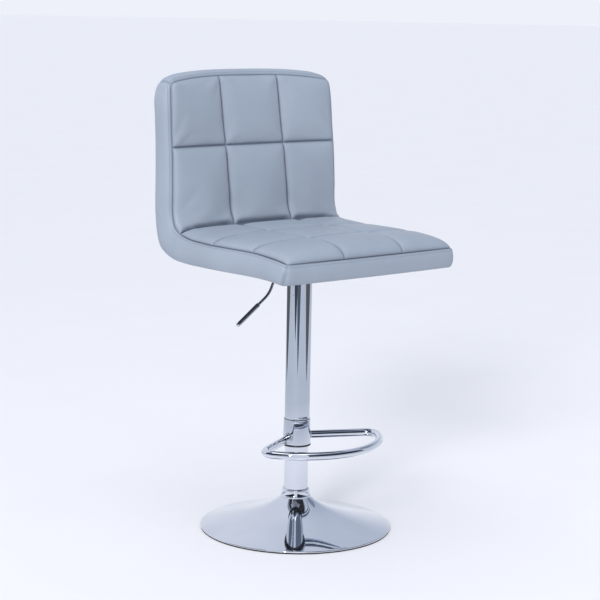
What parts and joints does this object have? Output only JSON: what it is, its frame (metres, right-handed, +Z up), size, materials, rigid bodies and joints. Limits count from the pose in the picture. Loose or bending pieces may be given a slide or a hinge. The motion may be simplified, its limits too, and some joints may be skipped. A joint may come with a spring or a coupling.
{
  "type": "salon swivel stool",
  "caption": "Height-adjustable swivel stool with a quilted upholstered seat and low back, gas lift, release lever, footrest hoop and round trumpet base.",
  "frame": {"origin": "on the floor, on the swivel axis of the column", "axes": "+Z up along the column; the sitter faces -Y; +X is the sitter's left"},
  "size_m": [0.442, 0.4141, 0.914],
  "materials": {
    "chrome": "mirror chrome plate",
    "steel": "zinc plated or ground steel",
    "black_plastic": "moulded, satin",
    "rubber": "matt",
    "cast_iron": "black painted",
    "plywood": "bare birch plywood",
    "leather": "fine-grained blue-grey leatherette, satin",
    "black_cloth": "non-woven dust cover"
  },
  "bodies": {
    "base": {"base_shell": "chrome", "base_floor_ring": "rubber", "base_ballast_plate": "cast_iron", "base_socket": "steel", "base_trim_ring": "chrome", "column_tube": "chrome", "column_foot_plate": "steel", "column_guide_bush": "black_plastic", "bearing_lower_race": "steel", "footrest_bushing": "black_plastic", "footrest_collar": "chrome", "footrest_set_screw_left": "steel", "footrest_set_screw_right": "steel", "footrest_hoop": "chrome"},
    "ball_cage": {"bearing_ball_cage": "steel"},
    "piston": {"bearing_upper_race": "steel", "piston_rod": "steel", "rod_retaining_clip": "steel", "bump_stop": "rubber", "piston_head": "steel"},
    "seat": {"gas_cylinder": "steel", "rod_guide_seal": "black_plastic", "lift_sleeve": "chrome", "sleeve_top_cap": "black_plastic", "mechanism_hub": "steel", "mechanism_pan": "steel", "lever_bracket": "steel", "lever_pivot_pin": "steel", "mechanism_screw_1": "steel", "mechanism_screw_2": "steel", "mechanism_screw_3": "steel", "mechanism_screw_4": "steel", "tee_nut_1": "steel", "tee_nut_2": "steel", "tee_nut_3": "steel", "tee_nut_4": "steel", "shell_board": "plywood", "seat_cushion": "leather", "underside_dust_cover": "black_cloth", "back_cushion": "leather", "back_rear_cover": "leather"},
    "lever": {"lever_rod": "chrome", "lever_grip": "chrome"},
    "button": {"release_button": "black_plastic"}
  },
  "joints": [
    {"name": "swivel", "type": "hinge", "parent": "base", "child": "piston", "pos_m": [0, 0, 0.0309], "axis": [0, 0, 1], "continuous": true},
    {"name": "lift", "type": "slide", "parent": "piston", "child": "seat", "axis": [0, 0, 1], "range_m": [0, 0.21]},
    {"name": "lever_pull", "type": "hinge", "parent": "seat", "child": "lever", "pos_m": [-0.038, 0, 0.5325], "axis": [0, 1, 0], "range_deg": [0, 6], "stiffness_Nm_per_rad": 2},
    {"name": "button_press", "type": "slide", "parent": "seat", "child": "button", "axis": [0, 0, -1], "range_m": [0, 0.0048], "stiffness_N_per_m": 200},
    {"name": "cage_roll", "type": "hinge", "parent": "base", "child": "ball_cage", "pos_m": [0, 0, 0.0286], "axis": [0, 0, 1], "continuous": true}
  ],
  "couplings": [
    {"joint": "cage_roll", "follows": "swivel", "ratio": 0.5},
    {"joint": "button_press", "follows": "lever_pull", "m_per_rad": 0.044}
  ]
}
